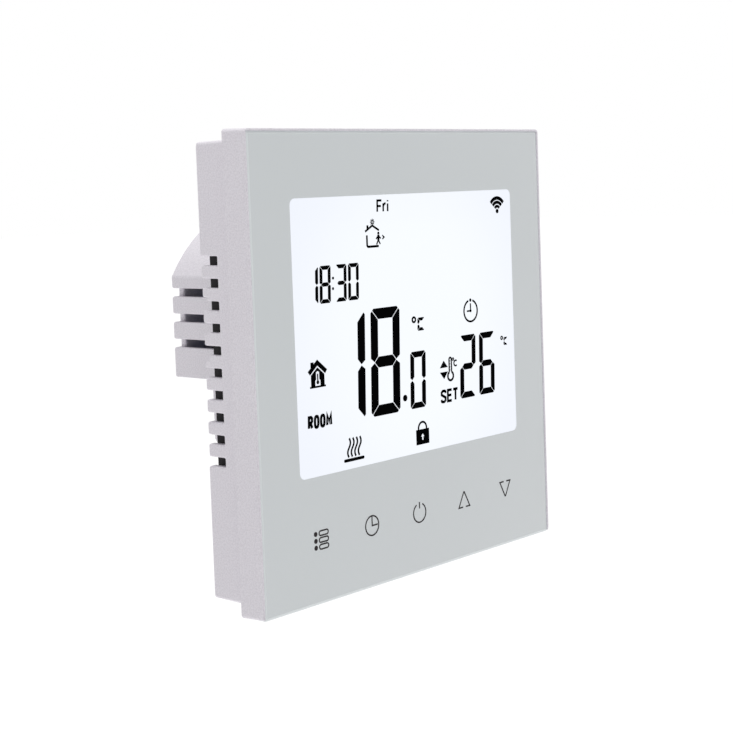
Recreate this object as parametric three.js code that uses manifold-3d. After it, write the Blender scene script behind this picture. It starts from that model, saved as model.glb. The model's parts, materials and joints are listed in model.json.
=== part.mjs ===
// Wall thermostat: a glass touch panel that clips on a rear housing, which clips on a wall plate.
//
// Frame: millimetres, +X to the right seen from the room, +Y into the wall, +Z up.
// The origin is the centre of the wall plate, on the wall's surface.
// Nodes are listed from the room to the wall: front panel, rear housing, wall plate.

import * as THREE from 'three';
import { mergeVertices } from 'three/addons/utils/BufferGeometryUtils.js';
import Module from 'manifold-3d';

const wasm = await Module();
wasm.setup();

// ---------------------------------------------------------------- driving dimensions

const PLATE_SIZE = 86.0;          // the standard square wall-box plate, edge to edge
const PLATE_FRONT_SIZE = 85.64;   // its front edge, a little smaller: moulding draft
const STAND_OFF = 14.3;           // how far the thermostat stands in front of the wall
const RIM_DEPTH = 5.5;            // how deep the front frame's side is
const BOX_DEPTH = 26.2;           // how far the deep box reaches into the wall
const CORNER_RADIUS = 0.8;
const GLASS_HALF = 42.3;          // glass panel: half its width, and its top edge
const GLASS_BOTTOM = -42.8;       // its lower edge, flush with the frame, which is open there

const SKIRT_SIZE = 82.4;          // rear housing's skirt, at its front
const SKIRT_REAR_SIZE = 82.14;    // the same, at the wall
const SKIRT_WALL = 1.8;

const BOX_HALF_WIDTH = 25.5;      // deep box: flat sides, arched top
const BOX_ARCH_RADIUS = 30.0;
const BOX_FLOOR = -4.0;           // the deep box's flat underside
const BOX_WALL = 1.8;
const SHROUD_HALF_WIDTH = 25.0;   // terminal shroud below it, with an arched underside
const SHROUD_ARCH_RADIUS = 29.5;
const SHROUD_DEPTH = 16.0;
const SHROUD_WALL = 1.6;

const VENT_COUNT = 10;            // notches down each side of the skirt
const VENT_PITCH = 4.0;
const VENT_TOP = 20.0;
const VENT_HEIGHT = 1.65;
const SLOT_COUNT = 3;             // cooling slots down each side of the deep box
const SLOT_PITCH = 5.0;
const SLOT_TOP = 12.7;
const SLOT_HEIGHT = 1.6;

const KEY_COUNT = 5;              // touch keys, in a row under the display
const KEY_PITCH = 13.8;
const KEY_HEIGHT = -31.2;

const TERMINAL_COUNT = 8;
const TERMINAL_PITCH = 5.08;
const TERMINAL_AXIS = -10.5;      // height of the terminal screws
const WALL_SCREW_PITCH = 60.0;    // the standard wall-box screw distance
const GAP = 0.1;                  // between pieces that rest on each other
const FREE = 0.3;                 // between pieces that slide or are cut round each other

// Layers from the room towards the wall, as y values.
const FRONT = -STAND_OFF;
const RIM_REAR = FRONT + RIM_DEPTH;
const GLASS = { front: FRONT + 0.1, rear: FRONT + 2.1 };
const SHELF = { front: GLASS.rear + GAP, rear: GLASS.rear + 1.3 };
const CELL = { front: SHELF.front, rear: SHELF.front + 1.8 };
const GUIDE = { front: CELL.rear + GAP, rear: CELL.rear + 1.7 };
const FRONT_BOARD = { front: GUIDE.rear + GAP, rear: GUIDE.rear + 1.3 };
const BACK_PLATE = { front: -5.8, rear: -4.2 };
const POWER_BOARD = { front: -3.4, rear: -1.8 };
const WALL_PLATE = { front: -2.2, rear: 0.0 };
const SKIRT_FRONT = SHELF.rear + 0.5;
const ON_POWER_BOARD = POWER_BOARD.rear + GAP;
const ARCH_STEPS = 10;            // half the number of flat steps that make up an arch

// The display, which sits above the middle of the panel.
const CELL_AREA = { left: -34.35, right: 34.35, bottom: -23.0, top: 32.4 };
const GUIDE_AREA = { left: -33.6, right: 33.6, bottom: -20.7, top: 31.8 };

// ---------------------------------------------------------------- materials

function finish(color, roughness, metalness) {
  return new THREE.MeshStandardMaterial({ color, roughness, metalness });
}

const materials = {
  whiteAbs: finish('#cbc7ce', 0.45, 0.0),
  printedGlass: finish('#c7cbcc', 0.08, 0.0),
  displayGlass: finish('#eef3fb', 0.15, 0.0),
  acrylic: finish('#f4f6f8', 0.2, 0.0),
  whiteHolder: finish('#f0f0ee', 0.5, 0.0),
  circuitBoard: finish('#1d5a37', 0.5, 0.0),
  blackEpoxy: finish('#1b1b1d', 0.4, 0.0),
  shieldCan: finish('#c4c6c8', 0.3, 1.0),
  contactRubber: finish('#d9a6b0', 0.7, 0.0),
  springSteel: finish('#c9cacc', 0.3, 1.0),
  zincScrew: finish('#b9bcc0', 0.35, 1.0),
  brass: finish('#c9a558', 0.35, 1.0),
  terminalGreen: finish('#2c6b4a', 0.5, 0.0),
  relayBlue: finish('#2a5fa5', 0.45, 0.0),
  coilTape: finish('#e3c23c', 0.5, 0.0),
  filmYellow: finish('#e8b92e', 0.4, 0.0),
  canSleeve: finish('#23262b', 0.4, 0.0),
  varistorBlue: finish('#2f6fb5', 0.35, 0.0),
  fuseBrown: finish('#4b2f22', 0.45, 0.0),
  darkAbs: finish('#2b2a2c', 0.55, 0.0),
};

// ---------------------------------------------------------------- shapes and booleans

function toSolid(geometry) {
  const bare = geometry.clone();
  bare.deleteAttribute('normal');
  bare.deleteAttribute('uv');
  const merged = mergeVertices(bare, 1e-4);
  const corners = merged.index.array;
  const kept = [];
  for (let i = 0; i < corners.length; i += 3) {
    const [a, b, c] = [corners[i], corners[i + 1], corners[i + 2]];
    if (a !== b && b !== c && c !== a) kept.push(a, b, c);
  }
  return new wasm.Manifold(new wasm.Mesh({
    numProp: 3,
    vertProperties: new Float32Array(merged.attributes.position.array),
    triVerts: new Uint32Array(kept),
  }));
}

function toGeometry(solid) {
  const mesh = solid.getMesh();
  const geometry = new THREE.BufferGeometry();
  geometry.setAttribute('position', new THREE.BufferAttribute(mesh.vertProperties, 3));
  geometry.setIndex(new THREE.BufferAttribute(mesh.triVerts, 1));
  geometry.computeVertexNormals();
  return geometry;
}

function join(...solids) {
  return solids.reduce((whole, next) => whole.add(next));
}

function cut(solid, ...tools) {
  return tools.reduce((left, tool) => left.subtract(tool), solid);
}

// A box from its six faces.
function block(x0, x1, y0, y1, z0, z1) {
  const geometry = new THREE.BoxGeometry(x1 - x0, y1 - y0, z1 - z0);
  geometry.translate((x0 + x1) / 2, (y0 + y1) / 2, (z0 + z1) / 2);
  return toSolid(geometry);
}

// A round bar along Y, which may taper from one radius to another.
function barY(radius, y0, y1, x = 0, z = 0, sides = 16, endRadius = radius) {
  const geometry = new THREE.CylinderGeometry(endRadius, radius, y1 - y0, sides);
  geometry.translate(x, (y0 + y1) / 2, z);
  return toSolid(geometry);
}

// A round bar along Z.
function barZ(radius, z0, z1, x = 0, y = 0, sides = 16) {
  const geometry = new THREE.CylinderGeometry(radius, radius, z1 - z0, sides);
  geometry.rotateX(Math.PI / 2);
  geometry.translate(x, y, (z0 + z1) / 2);
  return toSolid(geometry);
}

// A flat outline in the X-Z plane, made as thick as the step from y0 to y1.
function slab(outline, y0, y1, curveSegments = 2) {
  const geometry = new THREE.ExtrudeGeometry(outline, {
    depth: y1 - y0,
    bevelEnabled: false,
    curveSegments,
  });
  geometry.rotateX(Math.PI / 2);
  geometry.translate(0, y1, 0);
  return toSolid(geometry);
}

// A slab whose outline shrinks or grows steadily, as a moulded part does for its draft.
function draftedSlab(outline, y0, y1, scaleAtStart, scaleAtEnd) {
  const geometry = new THREE.ExtrudeGeometry(outline, {
    depth: y1 - y0,
    bevelEnabled: false,
    curveSegments: 2,
  });
  geometry.rotateX(Math.PI / 2);
  geometry.translate(0, y1, 0);
  const place = geometry.attributes.position;
  for (let i = 0; i < place.count; i += 1) {
    const along = (place.getY(i) - y0) / (y1 - y0);
    const scale = scaleAtStart + (scaleAtEnd - scaleAtStart) * along;
    place.setX(i, place.getX(i) * scale);
    place.setZ(i, place.getZ(i) * scale);
  }
  return toSolid(geometry);
}

function rectangle(left, right, bottom, top, radius = 0) {
  const shape = new THREE.Shape();
  if (radius === 0) {
    shape.moveTo(left, bottom).lineTo(right, bottom).lineTo(right, top).lineTo(left, top);
    return shape;
  }
  const quarter = Math.PI / 2;
  shape.moveTo(left + radius, bottom);
  shape.lineTo(right - radius, bottom);
  shape.absarc(right - radius, bottom + radius, radius, -quarter, 0);
  shape.lineTo(right, top - radius);
  shape.absarc(right - radius, top - radius, radius, 0, quarter);
  shape.lineTo(left + radius, top);
  shape.absarc(left + radius, top - radius, radius, quarter, 2 * quarter);
  shape.lineTo(left, bottom + radius);
  shape.absarc(left + radius, bottom + radius, radius, 2 * quarter, 3 * quarter);
  return shape;
}

function grown(area, margin) {
  return rectangle(
    area.left - margin, area.right + margin, area.bottom - margin, area.top + margin,
  );
}

function square(half, radius = 0) {
  return rectangle(-half, half, -half, half, radius);
}

// Two flat sides joined by an arch of a round box, from a flat base line to the arch.
function arched(halfWidth, radius, base, upwards = true) {
  const shape = new THREE.Shape();
  const reach = Math.acos(halfWidth / radius);
  if (upwards) {
    shape.moveTo(-halfWidth, base).lineTo(halfWidth, base);
    shape.absarc(0, 0, radius, reach, Math.PI - reach);
  } else {
    shape.moveTo(halfWidth, base).lineTo(-halfWidth, base);
    shape.absarc(0, 0, radius, Math.PI + reach, 2 * Math.PI - reach);
  }
  return shape;
}

const assembly = new THREE.Group();
assembly.name = 'wall_thermostat';

function addPiece(name, solid, material) {
  const mesh = new THREE.Mesh(toGeometry(solid), material);
  mesh.name = name;
  assembly.add(mesh);
}

// A screw whose head's top is at yHead; its point lies in direction +1 (into the wall) or -1.
function screw({ x, z, yHead, direction, headRadius, headHeight, shankRadius, length }) {
  const yNeck = yHead + direction * headHeight;
  const yTip = yHead + direction * length;
  const head = barY(headRadius, Math.min(yHead, yNeck), Math.max(yHead, yNeck), x, z, 16);
  const yOverlap = yNeck - direction * 0.2;
  const shank = barY(shankRadius, Math.min(yOverlap, yTip), Math.max(yOverlap, yTip), x, z, 8);
  return cut(join(head, shank), ...crossRecess(x, z, yHead, direction, headRadius));
}

function crossRecess(x, z, yHead, direction, headRadius) {
  const arm = headRadius * 0.62;
  const half = headRadius * 0.13;
  const depth = headRadius * 0.4;
  const [y0, y1] = direction > 0 ? [yHead - 1, yHead + depth] : [yHead - depth, yHead + 1];
  return [
    block(x - arm, x + arm, y0, y1, z - half, z + half),
    block(x - half, x + half, y0, y1, z - arm, z + arm),
  ];
}

// ---------------------------------------------------------------- front panel

const CORNERS = [[-1, 1], [1, 1], [-1, -1], [1, -1]];
const BOARD_SCREW = 35.9;         // front circuit board's screws, from the middle
const TONGUE = { x: 22, halfWidth: 4, inner: 38.3, outer: 39.1 };

function keyPositions() {
  return Array.from({ length: KEY_COUNT }, (_, i) => (i - (KEY_COUNT - 1) / 2) * KEY_PITCH);
}

function frontFrame() {
  const half = PLATE_SIZE / 2;
  const draft = PLATE_FRONT_SIZE / PLATE_SIZE;
  const outer = draftedSlab(square(half, CORNER_RADIUS), FRONT, RIM_REAR, draft, 1);
  const seatHalf = GLASS_HALF + GAP;
  const glassSeat = block(-seatHalf, seatHalf, FRONT - 1, SHELF.front, -half - 1, seatHalf);
  const rearRoom = slab(square(41.4, 0.6), SHELF.rear, RIM_REAR + 1);
  const cellWindow = slab(grown(CELL_AREA, FREE), SHELF.front - 1, SHELF.rear + 1);
  const springHoles = keyPositions().map(
    (x) => barY(3.6, SHELF.front - 1, SHELF.rear + 1, x, KEY_HEIGHT, 20),
  );
  const prySlot = block(-5, 5, RIM_REAR - 0.8, RIM_REAR + 1, -44, -41.2);
  const tray = cut(outer, glassSeat, rearRoom, cellWindow, ...springHoles, prySlot);
  const posts = CORNERS.map(([sx, sz]) => cut(
    barY(1.9, SHELF.rear - 0.2, FRONT_BOARD.front - GAP, sx * BOARD_SCREW, sz * BOARD_SCREW, 16),
    barY(1.2, SHELF.rear + 0.2, FRONT_BOARD.front, sx * BOARD_SCREW, sz * BOARD_SCREW, 12),
  ));
  const tongues = CORNERS.map(([sx, sz]) => {
    const x = sx * TONGUE.x;
    const [z0, z1] = [sz * TONGUE.inner, sz * TONGUE.outer].sort((a, b) => a - b);
    const span = [x - TONGUE.halfWidth, x + TONGUE.halfWidth];
    return block(...span, SHELF.rear - 0.2, BACK_PLATE.front - FREE, z0, z1);
  });
  return join(tray, ...posts, ...tongues);
}

// A coil spring that carries the touch signal from the circuit board to the glass.
function touchSpring(x) {
  const turns = 3;
  const coilRadius = 2.6;
  const wireRadius = 0.25;
  const y0 = FRONT_BOARD.front - GAP - wireRadius;
  const y1 = GLASS.rear + GAP + wireRadius;
  class Helix extends THREE.Curve {
    getPoint(t, target = new THREE.Vector3()) {
      const angle = 2 * Math.PI * turns * t;
      return target.set(
        x + coilRadius * Math.cos(angle),
        y0 + (y1 - y0) * t,
        KEY_HEIGHT + coilRadius * Math.sin(angle),
      );
    }
  }
  const wire = new THREE.Shape();
  wire.absarc(0, 0, wireRadius, 0, 2 * Math.PI);
  return toSolid(new THREE.ExtrudeGeometry(wire, {
    steps: 24,
    extrudePath: new Helix(),
    curveSegments: 3,
  }));
}

// A ring round the light guide, stepped at its front edge to take the display's cell.
function lcdHolder() {
  const [y0, y1] = [SHELF.rear + GAP, GUIDE.rear];
  const cellSeat = slab(grown(CELL_AREA, FREE), y0 - 1, CELL.rear + GAP);
  return cut(
    slab(rectangle(-35.6, 35.6, -25.4, 33.8), y0, y1),
    slab(rectangle(-33.9, 33.9, -23.2, 32.1), y0 - 1, y1 + 1),
    cellSeat,
  );
}

function frontBoard() {
  const holes = CORNERS.map(([sx, sz]) => barY(
    1.2, FRONT_BOARD.front - 1, FRONT_BOARD.rear + 1, sx * BOARD_SCREW, sz * BOARD_SCREW, 12,
  ));
  return cut(slab(square(38.0, 1.0), FRONT_BOARD.front, FRONT_BOARD.rear), ...holes);
}

function wifiModule() {
  const y = FRONT_BOARD.rear + GAP;
  const board = block(-17.5, -1.5, y, y + 0.8, -2, 18);
  const can = block(-16.5, -2.5, y + 0.7, y + 2.5, -1.2, 11.5);
  return join(board, can);
}

function controllerChip() {
  const y = FRONT_BOARD.rear + GAP;
  return block(4, 14, y, y + 1.3, 6, 16);
}

function buzzer() {
  const y = FRONT_BOARD.rear + GAP;
  return cut(barY(4.5, y, y + 2.8, 12, -8, 24), barY(1.0, y + 1.8, y + 4, 12, -8, 12));
}

// The plug between the two circuit boards: two rows of pins in a socket.
const PLUG = { x: -9, z: -11, columns: 6, rows: 2, pitch: 2.54, halfPin: 0.32 };

function plugPoints() {
  const points = [];
  for (let column = 0; column < PLUG.columns; column += 1) {
    for (let row = 0; row < PLUG.rows; row += 1) {
      points.push([
        PLUG.x + (column - (PLUG.columns - 1) / 2) * PLUG.pitch,
        PLUG.z + (row - (PLUG.rows - 1) / 2) * PLUG.pitch,
      ]);
    }
  }
  return points;
}

function squarePin(x, z, half, y0, y1) {
  return block(x - half, x + half, y0, y1, z - half, z + half);
}

function plugBody(y0, y1) {
  const halfWidth = PLUG.columns * PLUG.pitch / 2;
  const halfHeight = PLUG.rows * PLUG.pitch / 2;
  return block(
    PLUG.x - halfWidth, PLUG.x + halfWidth, y0, y1, PLUG.z - halfHeight, PLUG.z + halfHeight,
  );
}

function pinSocket() {
  const y = FRONT_BOARD.rear + GAP;
  const holes = plugPoints().map(([x, z]) => squarePin(x, z, PLUG.halfPin + FREE, y + 0.3, y + 4));
  return cut(plugBody(y, y + 2.3), ...holes);
}

function pinHeader() {
  const pins = plugPoints().map(
    ([x, z]) => squarePin(x, z, PLUG.halfPin, FRONT_BOARD.rear + 0.6, POWER_BOARD.front - 0.3),
  );
  return join(plugBody(POWER_BOARD.front - 1.2, POWER_BOARD.front - GAP), ...pins);
}

// The room temperature sensor: a bead on two wires that stands in a hole of the back plate.
const SENSOR = { x: -30, z: -31 };

function roomSensor() {
  const bead = new THREE.SphereGeometry(1.2, 12, 8);
  bead.translate(SENSOR.x, -4.9, SENSOR.z);
  const legs = [-0.7, 0.7].map(
    (side) => barY(0.25, FRONT_BOARD.rear + GAP, -4.9, SENSOR.x + side, SENSOR.z, 6),
  );
  return join(toSolid(bead), ...legs);
}

function addFrontPanel() {
  addPiece('front_frame', frontFrame(), materials.whiteAbs);
  const glass = block(-GLASS_HALF, GLASS_HALF, GLASS.front, GLASS.rear, GLASS_BOTTOM, GLASS_HALF);
  addPiece('glass_panel', glass, materials.printedGlass);
  addPiece('lcd_cell', block(
    CELL_AREA.left, CELL_AREA.right, CELL.front, CELL.rear, CELL_AREA.bottom, CELL_AREA.top,
  ), materials.displayGlass);
  addPiece('light_guide', block(
    GUIDE_AREA.left, GUIDE_AREA.right, GUIDE.front, GUIDE.rear, GUIDE_AREA.bottom, GUIDE_AREA.top,
  ), materials.acrylic);
  addPiece('lcd_holder', lcdHolder(), materials.whiteHolder);
  addPiece('contact_strip', block(
    -31, 31, GUIDE.front, GUIDE.rear, -22.9, -21.4,
  ), materials.contactRubber);
  keyPositions().forEach((x, i) => {
    addPiece(`touch_spring_${i + 1}`, touchSpring(x), materials.springSteel);
  });
  addPiece('front_board', frontBoard(), materials.circuitBoard);
  addPiece('wifi_module', wifiModule(), materials.shieldCan);
  addPiece('controller_chip', controllerChip(), materials.blackEpoxy);
  addPiece('buzzer', buzzer(), materials.blackEpoxy);
  addPiece('pin_socket', pinSocket(), materials.blackEpoxy);
  addPiece('room_sensor', roomSensor(), materials.blackEpoxy);
  CORNERS.forEach(([sx, sz], i) => {
    addPiece(`front_board_screw_${i + 1}`, screw({
      x: sx * BOARD_SCREW,
      z: sz * BOARD_SCREW,
      yHead: FRONT_BOARD.rear + 1.2,
      direction: -1,
      headRadius: 1.8,
      headHeight: 1.1,
      shankRadius: 0.9,
      length: 4.0,
    }), materials.zincScrew);
  });
}

// ---------------------------------------------------------------- rear housing

const HOOK = { x: 20, z: 35.5, halfWidth: 4, halfThick: 0.7 };   // the wall plate's posts
const BOSS = { x: 20.2, z: 15.6 };                               // power board's screws
const MOUTH_BASE = -17.3;         // lower edge of the opening that takes the power board

function rearHousing() {
  const half = SKIRT_SIZE / 2;
  const draft = SKIRT_REAR_SIZE / SKIRT_SIZE;
  const inner = half - SKIRT_WALL;
  const skirt = cut(
    draftedSlab(square(half, CORNER_RADIUS), SKIRT_FRONT, 0, 1, draft),
    slab(square(inner, 0.5), SKIRT_FRONT - 1, 1),
  );
  const backPlate = slab(square(inner + 0.4), BACK_PLATE.front, BACK_PLATE.rear);
  const yStart = BACK_PLATE.rear - 0.2;
  const box = slab(arched(BOX_HALF_WIDTH, BOX_ARCH_RADIUS, BOX_FLOOR), yStart, BOX_DEPTH, ARCH_STEPS);
  const shroud = slab(
    arched(SHROUD_HALF_WIDTH, SHROUD_ARCH_RADIUS, BOX_FLOOR + 0.5, false),
    yStart, SHROUD_DEPTH, ARCH_STEPS,
  );

  const innerHalf = BOX_HALF_WIDTH - BOX_WALL;
  const innerArch = BOX_ARCH_RADIUS - BOX_WALL;
  const behindBoard = POWER_BOARD.rear + 0.2;
  const mouth = slab(
    arched(innerHalf, innerArch, MOUTH_BASE), BACK_PLATE.front - 1, behindBoard, ARCH_STEPS,
  );
  const boxRoom = slab(
    arched(innerHalf, innerArch, BOX_FLOOR + BOX_WALL),
    behindBoard - 0.5, BOX_DEPTH - BOX_WALL, ARCH_STEPS,
  );
  const shroudRoom = slab(
    arched(SHROUD_HALF_WIDTH - SHROUD_WALL, SHROUD_ARCH_RADIUS - SHROUD_WALL, BOX_FLOOR, false),
    BACK_PLATE.rear, SHROUD_DEPTH + 1, ARCH_STEPS,
  );

  const shell = cut(join(skirt, backPlate, box, shroud), mouth, boxRoom, shroudRoom);
  const bosses = [-1, 1].map((side) => {
    const boss = barY(3.0, behindBoard, 8, side * BOSS.x, BOSS.z, 16);
    const inside = slab(
      arched(innerHalf + 0.5, innerArch + 0.5, BOX_FLOOR), behindBoard, 9, ARCH_STEPS,
    );
    return boss.intersect(inside);
  });
  const bossHoles = [-1, 1].map((side) => barY(1.3, behindBoard - 1, 6.5, side * BOSS.x, BOSS.z, 12));
  return cut(join(shell, ...bosses), ...bossHoles, ...housingOpenings(inner));
}

function housingOpenings(inner) {
  const tools = [];
  const outside = PLATE_SIZE / 2;
  for (const side of [-1, 1]) {
    const across = (from, to) => [side * from, side * to].sort((a, b) => a - b);
    for (let i = 0; i < VENT_COUNT; i += 1) {
      const z = VENT_TOP - i * VENT_PITCH;
      tools.push(block(
        ...across(inner - 0.5, outside), BACK_PLATE.rear, 1, z - VENT_HEIGHT / 2, z + VENT_HEIGHT / 2,
      ));
    }
    for (let i = 0; i < SLOT_COUNT; i += 1) {
      const z = SLOT_TOP - i * SLOT_PITCH;
      const depth = BOX_HALF_WIDTH - BOX_WALL;
      tools.push(block(
        ...across(depth, outside), -1, BOX_DEPTH + 1, z - SLOT_HEIGHT / 2, z + SLOT_HEIGHT / 2,
      ));
    }
    for (let i = 0; i < 5; i += 1) {
      const z = 18 - i * 8;
      tools.push(block(...across(30.5, 36.5), BACK_PLATE.front - 1, BACK_PLATE.rear + 1, z - 0.8, z + 0.8));
    }
  }
  for (const [sx, sz] of CORNERS) {
    const halfX = HOOK.halfWidth + 0.5;
    const halfZ = HOOK.halfThick + 0.5;
    tools.push(block(
      sx * HOOK.x - halfX, sx * HOOK.x + halfX, BACK_PLATE.front - 1, BACK_PLATE.rear + 1,
      sz * HOOK.z - halfZ, sz * HOOK.z + halfZ,
    ));
  }
  tools.push(barY(2.4, BACK_PLATE.front - 1, BACK_PLATE.rear + 1, SENSOR.x, SENSOR.z, 20));
  return tools;
}

// One way of the terminal block. A screw turns in place and lifts a brass clamp round a fixed
// contact bar, and the wire, which comes in from below, is held between clamp and bar.
const WAY = {
  bar: { y0: 5.0, y1: 5.8, half: 0.9, low: -15.0, high: -5.9 },
  clamp: { half: 1.9, low: -13.1, high: -7.9, y0: -0.1, y1: 7.6 },
  head: { y0: 11.9, y1: 13.8, radius: 1.85 },
  rear: 15.0,
};

function terminalPositions() {
  const middle = (TERMINAL_COUNT - 1) / 2;
  return Array.from({ length: TERMINAL_COUNT }, (_, i) => (i - middle) * TERMINAL_PITCH);
}

function powerBoard() {
  const outline = arched(BOX_HALF_WIDTH - BOX_WALL - 0.4, BOX_ARCH_RADIUS - BOX_WALL - 0.4, -17);
  const [y0, y1] = [POWER_BOARD.front - 1, POWER_BOARD.rear + 1];
  const screwHoles = [-1, 1].map((side) => barY(1.3, y0, y1, side * BOSS.x, BOSS.z, 12));
  const pinHoles = terminalPositions().map(
    (x) => squarePin(x, WAY.bar.high - 0.4, 0.8, y0, y1),
  );
  return cut(slab(outline, POWER_BOARD.front, POWER_BOARD.rear, ARCH_STEPS), ...screwHoles, ...pinHoles);
}

function terminalBlock() {
  const edge = TERMINAL_COUNT * TERMINAL_PITCH / 2 + 1.28;
  const [low, high] = [-16.3, BOX_FLOOR - FREE];
  const body = block(-edge, edge, ON_POWER_BOARD, WAY.rear, low, high);
  const rooms = terminalPositions().flatMap((x) => [
    block(x - 2.2, x + 2.2, WAY.clamp.y0 - FREE, WAY.head.y0 - FREE, -13.4, -7.6),
    block(x - 1.2, x + 1.2, WAY.bar.y0 - FREE, WAY.bar.y1 + FREE, WAY.bar.low - FREE, WAY.bar.high + FREE),
    block(x - 1.2, x + 1.2, ON_POWER_BOARD - 1, WAY.bar.y1 + FREE, WAY.bar.high - 1.1, WAY.bar.high + FREE),
    barY(WAY.head.radius + FREE, WAY.head.y0 - FREE - 0.1, WAY.head.y1 + 0.2, x, TERMINAL_AXIS, 12),
    barY(1.6, WAY.head.y1, WAY.rear + 1, x, TERMINAL_AXIS, 12),
    barZ(1.6, low - 1, -13.3, x, 2.9, 12),
  ]);
  return cut(body, ...rooms);
}

function contactBar(x) {
  const { y0, y1, half, low, high } = WAY.bar;
  const bar = block(x - half, x + half, y0, y1, low, high);
  const leg = block(x - 0.5, x + 0.5, POWER_BOARD.front - 0.6, y1, high - 0.8, high);
  return join(bar, leg);
}

function wireClamp(x) {
  const { half, low, high, y0, y1 } = WAY.clamp;
  const outer = block(x - half, x + half, y0, y1, low, high);
  const window = block(x - half + 0.6, x + half - 0.6, y0 + 0.8, y1 - 1.4, low - 1, high + 1);
  const thread = barY(1.45, y1 - 2, y1 + 1, x, TERMINAL_AXIS, 12);
  return cut(outer, window, thread);
}

function relay() {
  const y = ON_POWER_BOARD;
  return cut(
    block(-22.6, -3.9, y, y + 15.5, -1.7, 12.3),
    block(-20.5, -6.0, y + 15.2, y + 16, 0.4, 10.2),
  );
}

function transformer() {
  const y = ON_POWER_BOARD;
  const core = block(2.4, 19.0, y + 3.2, y + 10.8, -1.2, 12.0);
  const bobbin = block(4.6, 16.8, y, y + 14.0, -0.4, 11.2);
  return join(core, bobbin);
}

function electrolyticCapacitor() {
  const [r, y0, y1] = [5.0, ON_POWER_BOARD, ON_POWER_BOARD + 13];
  const profile = [
    [0, y0], [r - 0.4, y0], [r, y0 + 0.4], [r, y0 + 1.2], [r - 0.4, y0 + 1.6], [r, y0 + 2.0],
    [r, y1 - 0.4], [r - 0.4, y1], [0, y1],
  ].map(([radius, y]) => new THREE.Vector2(radius, y));
  const can = new THREE.LatheGeometry(profile, 24);
  can.translate(-9, 0, 19.8);
  return toSolid(can);
}

function varistor() {
  const y = ON_POWER_BOARD;
  const disc = barZ(5.0, 21.0, 24.4, 4, y + 6.5, 24);
  const legs = [0.5, 7.5].map((x) => block(x - 0.4, x + 0.4, y, y + 6.5, 22.3, 23.1));
  return join(disc, ...legs);
}

function addRearHousing() {
  const y = ON_POWER_BOARD;
  addPiece('rear_housing', rearHousing(), materials.whiteAbs);
  addPiece('power_board', powerBoard(), materials.circuitBoard);
  addPiece('pin_header', pinHeader(), materials.brass);
  addPiece('relay', relay(), materials.relayBlue);
  addPiece('transformer', transformer(), materials.coilTape);
  addPiece('film_capacitor', block(-2.5, 15, y, y + 12, 13.4, 19.2), materials.filmYellow);
  addPiece('electrolytic_capacitor', electrolyticCapacitor(), materials.canSleeve);
  addPiece('varistor', varistor(), materials.varistorBlue);
  addPiece('fuse', block(-3.2, 1.6, y, y + 8, 1.0, 9.4), materials.fuseBrown);
  [-1, 1].forEach((side, i) => {
    addPiece(`power_board_screw_${i + 1}`, screw({
      x: side * BOSS.x,
      z: BOSS.z,
      yHead: POWER_BOARD.front - 1.5,
      direction: 1,
      headRadius: 2.2,
      headHeight: 1.4,
      shankRadius: 1.0,
      length: 9.0,
    }), materials.zincScrew);
  });
  addPiece('terminal_block', terminalBlock(), materials.terminalGreen);
  terminalPositions().forEach((x, i) => {
    addPiece(`contact_bar_${i + 1}`, contactBar(x), materials.brass);
    addPiece(`wire_clamp_${i + 1}`, wireClamp(x), materials.brass);
    addPiece(`terminal_screw_${i + 1}`, screw({
      x,
      z: TERMINAL_AXIS,
      yHead: WAY.head.y1,
      direction: -1,
      headRadius: WAY.head.radius,
      headHeight: WAY.head.y1 - WAY.head.y0,
      shankRadius: 1.1,
      length: WAY.head.y1 - WAY.bar.y1 - GAP,
    }), materials.zincScrew);
  });
}

// ---------------------------------------------------------------- wall plate

// Countersunk holes for the two screws that hold the plate on the wall box.
const WALL_SCREW = { holeRadius: 2.05, rimRadius: 3.2, coneDepth: 1.4 };

function wallPlate() {
  const { front, rear } = WALL_PLATE;
  const [y0, y1] = [front - 1, rear + 1];
  const windowHalf = BOX_HALF_WIDTH + 0.7;
  const windowArch = BOX_ARCH_RADIUS + 0.7;
  const boxWindow = slab(arched(windowHalf, windowArch, -1), y0, y1, ARCH_STEPS);
  const shroudWindow = slab(arched(windowHalf, windowArch, 0, false), y0, y1, ARCH_STEPS);
  const { holeRadius, rimRadius, coneDepth } = WALL_SCREW;
  const screwHoles = [-1, 1].flatMap((side) => {
    const x = side * WALL_SCREW_PITCH / 2;
    return [
      barY(holeRadius, y0, y1, x),
      barY(rimRadius, y0, front + 0.1, x),
      barY(rimRadius, front, front + coneDepth, x, 0, 16, holeRadius),
    ];
  });
  const cornerHoles = CORNERS.map(([sx, sz]) => barY(2.0, y0, y1, sx * 33.5, sz * 28, 12));
  const posts = CORNERS.map(([sx, sz]) => block(
    sx * HOOK.x - HOOK.halfWidth, sx * HOOK.x + HOOK.halfWidth,
    BACK_PLATE.front - 1, front + 0.2,
    sz * HOOK.z - HOOK.halfThick, sz * HOOK.z + HOOK.halfThick,
  ));
  const sheet = cut(
    slab(square(38.9, 1.0), front, rear), boxWindow, shroudWindow, ...screwHoles, ...cornerHoles,
  );
  return join(sheet, ...posts);
}

function addWallPlate() {
  addPiece('wall_plate', wallPlate(), materials.darkAbs);
}

addFrontPanel();
addRearHousing();
addWallPlate();

export default assembly;
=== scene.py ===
# %% [markdown]
# # A flush wall thermostat with a glass touch panel
#
# The object is a square glass panel on a white moulded rim, a vented skirt behind it, and a deep
# arched box that goes into the wall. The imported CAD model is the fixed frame: it says where every
# piece lies, so this script only gives the pieces their fine shape and their finish. The frame
# has +X to the right seen from the room, +Y into the wall and +Z up; the wall is at y = 0.

# %% Load the frame and keep its box
import json
import math

import bmesh
import bpy
import numpy as np
from mathutils import Matrix, Vector


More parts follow.
